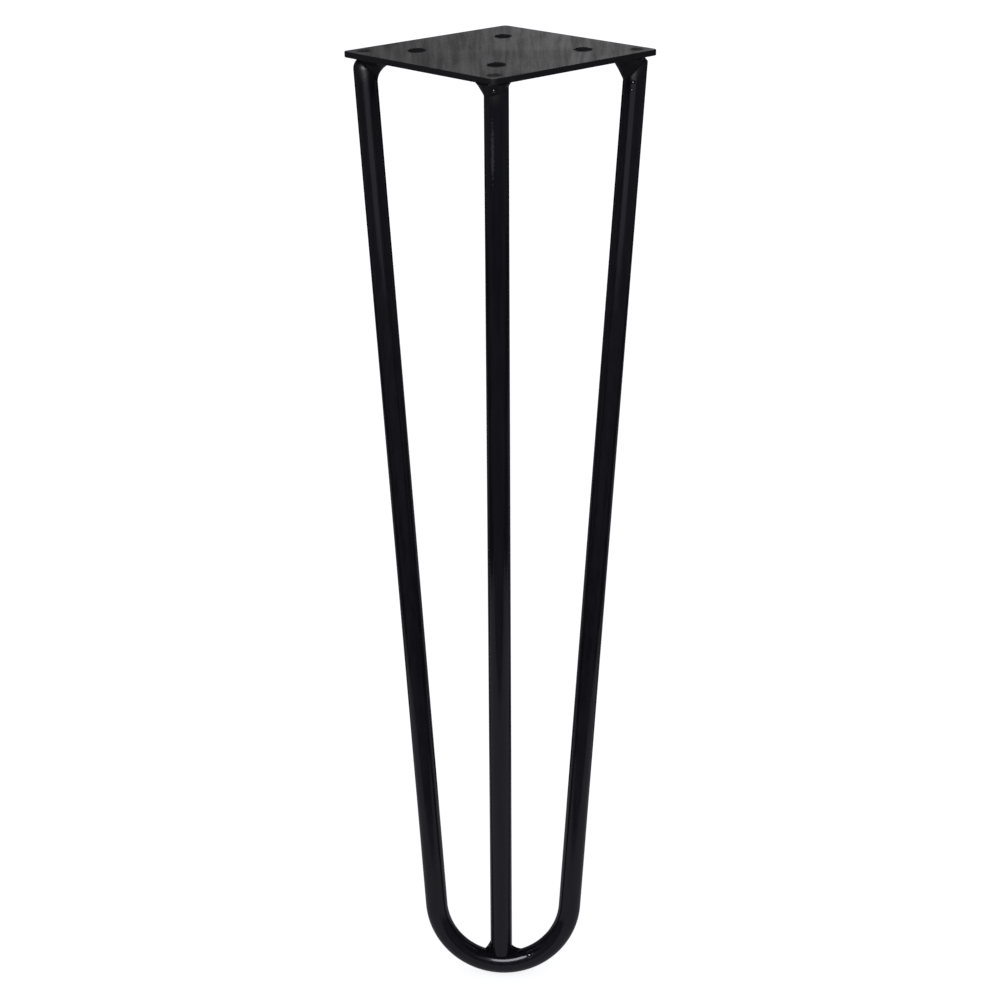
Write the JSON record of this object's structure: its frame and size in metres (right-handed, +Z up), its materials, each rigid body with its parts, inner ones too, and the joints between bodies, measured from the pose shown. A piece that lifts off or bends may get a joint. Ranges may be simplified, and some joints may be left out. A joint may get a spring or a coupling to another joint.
{
  "type": "hairpin table leg",
  "caption": "Black welded steel hairpin leg: a bent round rod and a straight brace rod run from a square screw plate down to one rounded foot, and hold up a table top or bench.",
  "frame": {"origin": "centre of the mounting plate's top face, in the middle of the screw holes", "axes": "+Z up, out of the plate's top face; +X along the plate's diagonal from the left prong to the right one; the brace rod and the foot are to -Y"},
  "size_m": [0.1322, 0.1611, 0.41],
  "materials": {
    "black_powder_coat": "satin black powder coat on steel"
  },
  "bodies": {
    "root": {"mounting_plate": "black_powder_coat", "hairpin_rod": "black_powder_coat", "third_rod": "black_powder_coat", "left_plate_weld": "black_powder_coat", "right_plate_weld": "black_powder_coat", "front_plate_weld": "black_powder_coat", "foot_weld": "black_powder_coat"}
  },
  "joints": []
}
